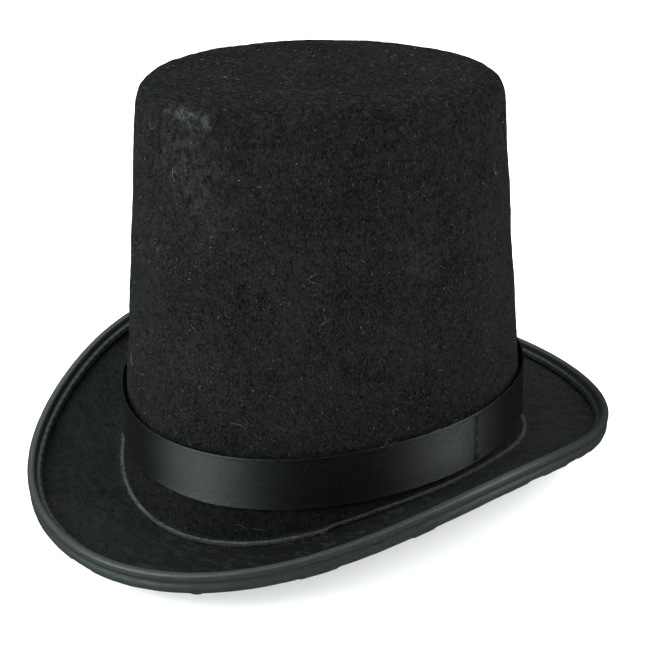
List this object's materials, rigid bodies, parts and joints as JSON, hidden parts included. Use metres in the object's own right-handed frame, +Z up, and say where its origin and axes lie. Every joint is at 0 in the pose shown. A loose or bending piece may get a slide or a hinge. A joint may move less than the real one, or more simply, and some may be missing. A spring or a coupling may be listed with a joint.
{
  "type": "top hat",
  "caption": "Top hat of pressed felt with a tall tapered oval crown, an upturned tape-bound brim, a satin band and a sweatband inside.",
  "frame": {"origin": "centre of the hat's plan box, on the plane it stands on", "axes": "-Y is the front, +X the wearer's left where the band is lapped, +Z up through the crown"},
  "size_m": [0.2554, 0.295, 0.189],
  "materials": {
    "felt": "black needled felt with a short matt nap",
    "binding_tape": "black satin bias tape with a soft sheen",
    "satin": "black satin ribbon with a strong sheen across its width",
    "thread": "black sewing thread",
    "sweatband": "black ribbed ribbon",
    "wire": "drawn steel wire",
    "joiner": "plain crimped tube"
  },
  "bodies": {
    "root": {"crown_felt": "felt", "brim_felt": "felt", "rim_wire": "wire", "wire_joiner": "joiner", "rim_binding": "binding_tape", "binding_stitches": "thread", "hat_band": "satin", "band_lap": "satin", "lap_stitches": "thread", "sweatband": "sweatband", "sweatband_stitches": "thread"}
  },
  "joints": []
}
